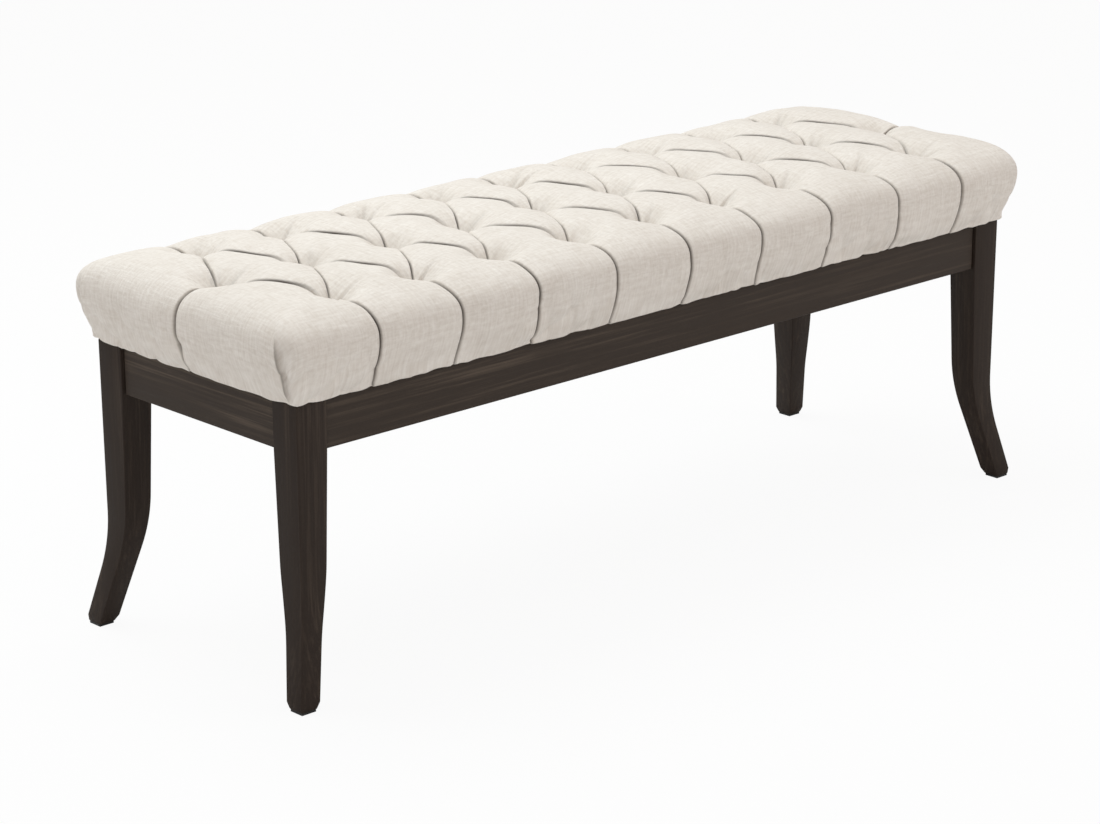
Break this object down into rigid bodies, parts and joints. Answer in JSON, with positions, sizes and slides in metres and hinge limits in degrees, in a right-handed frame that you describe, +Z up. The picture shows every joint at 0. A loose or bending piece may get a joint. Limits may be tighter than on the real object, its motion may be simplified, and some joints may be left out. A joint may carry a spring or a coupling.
{
  "type": "tufted upholstered bench",
  "caption": "Long upholstered bench with a deep diamond-tufted linen seat on four dark stained sabre legs joined by plain rails.",
  "frame": {"origin": "on the floor under the middle of the seat", "axes": "+X along the bench's length, +Y from front to back, +Z up"},
  "size_m": [1.206, 0.406, 0.4475],
  "materials": {
    "linen": "cream slub linen, matte, plain weave",
    "foam": "cut polyurethane foam",
    "twine": "waxed tufting twine",
    "black_cloth": "black non-woven cloth",
    "plywood": "raw birch plywood",
    "dark_wood": "very dark stain with brushed grain, satin",
    "raw_hardwood": "planed, unstained",
    "plated_steel": "zinc plated",
    "black_plastic": "moulded, matte"
  },
  "bodies": {
    "root": {"seat_cover": "linen", "foam_pad": "foam", "seat_board": "plywood", "tufting_twine": "twine", "twine_plates": "plated_steel", "dust_cover": "black_cloth", "front_rail": "dark_wood", "back_rail": "dark_wood", "left_rail": "dark_wood", "right_rail": "dark_wood", "front_left_leg": "dark_wood", "front_right_leg": "dark_wood", "back_left_leg": "dark_wood", "back_right_leg": "dark_wood", "front_left_glide": "black_plastic", "front_right_glide": "black_plastic", "back_left_glide": "black_plastic", "back_right_glide": "black_plastic", "left_cross_rail": "raw_hardwood", "right_cross_rail": "raw_hardwood", "front_left_block": "raw_hardwood", "front_right_block": "raw_hardwood", "back_left_block": "raw_hardwood", "back_right_block": "raw_hardwood", "hanger_bolts": "plated_steel", "bolt_washers": "plated_steel", "bolt_nuts": "plated_steel", "seat_screws": "plated_steel"}
  },
  "joints": []
}
